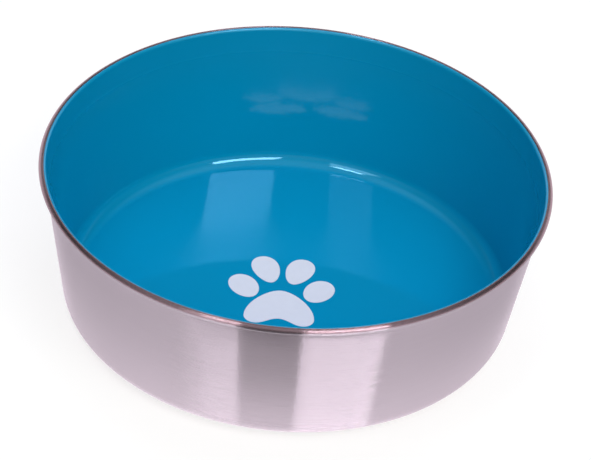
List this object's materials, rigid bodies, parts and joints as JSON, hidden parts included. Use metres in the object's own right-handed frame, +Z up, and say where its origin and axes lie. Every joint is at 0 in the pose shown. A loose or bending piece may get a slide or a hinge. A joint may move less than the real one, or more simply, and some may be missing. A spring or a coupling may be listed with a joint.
{
  "type": "dog bowl",
  "caption": "Round stainless steel feeding bowl with a rolled rim, a glossy blue coated inside, a white paw print on the floor and a rubber ring under the base.",
  "frame": {"origin": "centre of the tread of the rubber ring, the plane that the bowl stands on", "axes": "+Z up through the open mouth, along the bowl's axis of revolution; +Y is where the toes of the printed paw point, +X is to the right of the print"},
  "size_m": [0.215, 0.215, 0.0681],
  "materials": {
    "brushed_stainless": "brushed round the bowl, polished on the rolled rim",
    "blue_coat": "glossy baked coating with a slight orange peel",
    "white_print": "satin printed ink",
    "adhesive": "clear amber film",
    "black_rubber": "matt moulded rubber"
  },
  "bodies": {
    "root": {"bowl_shell": "brushed_stainless", "inner_coat": "blue_coat", "paw_pad": "white_print", "toe_outer_left": "white_print", "toe_inner_left": "white_print", "toe_inner_right": "white_print", "toe_outer_right": "white_print", "ring_adhesive": "adhesive", "grip_ring": "black_rubber"}
  },
  "joints": []
}
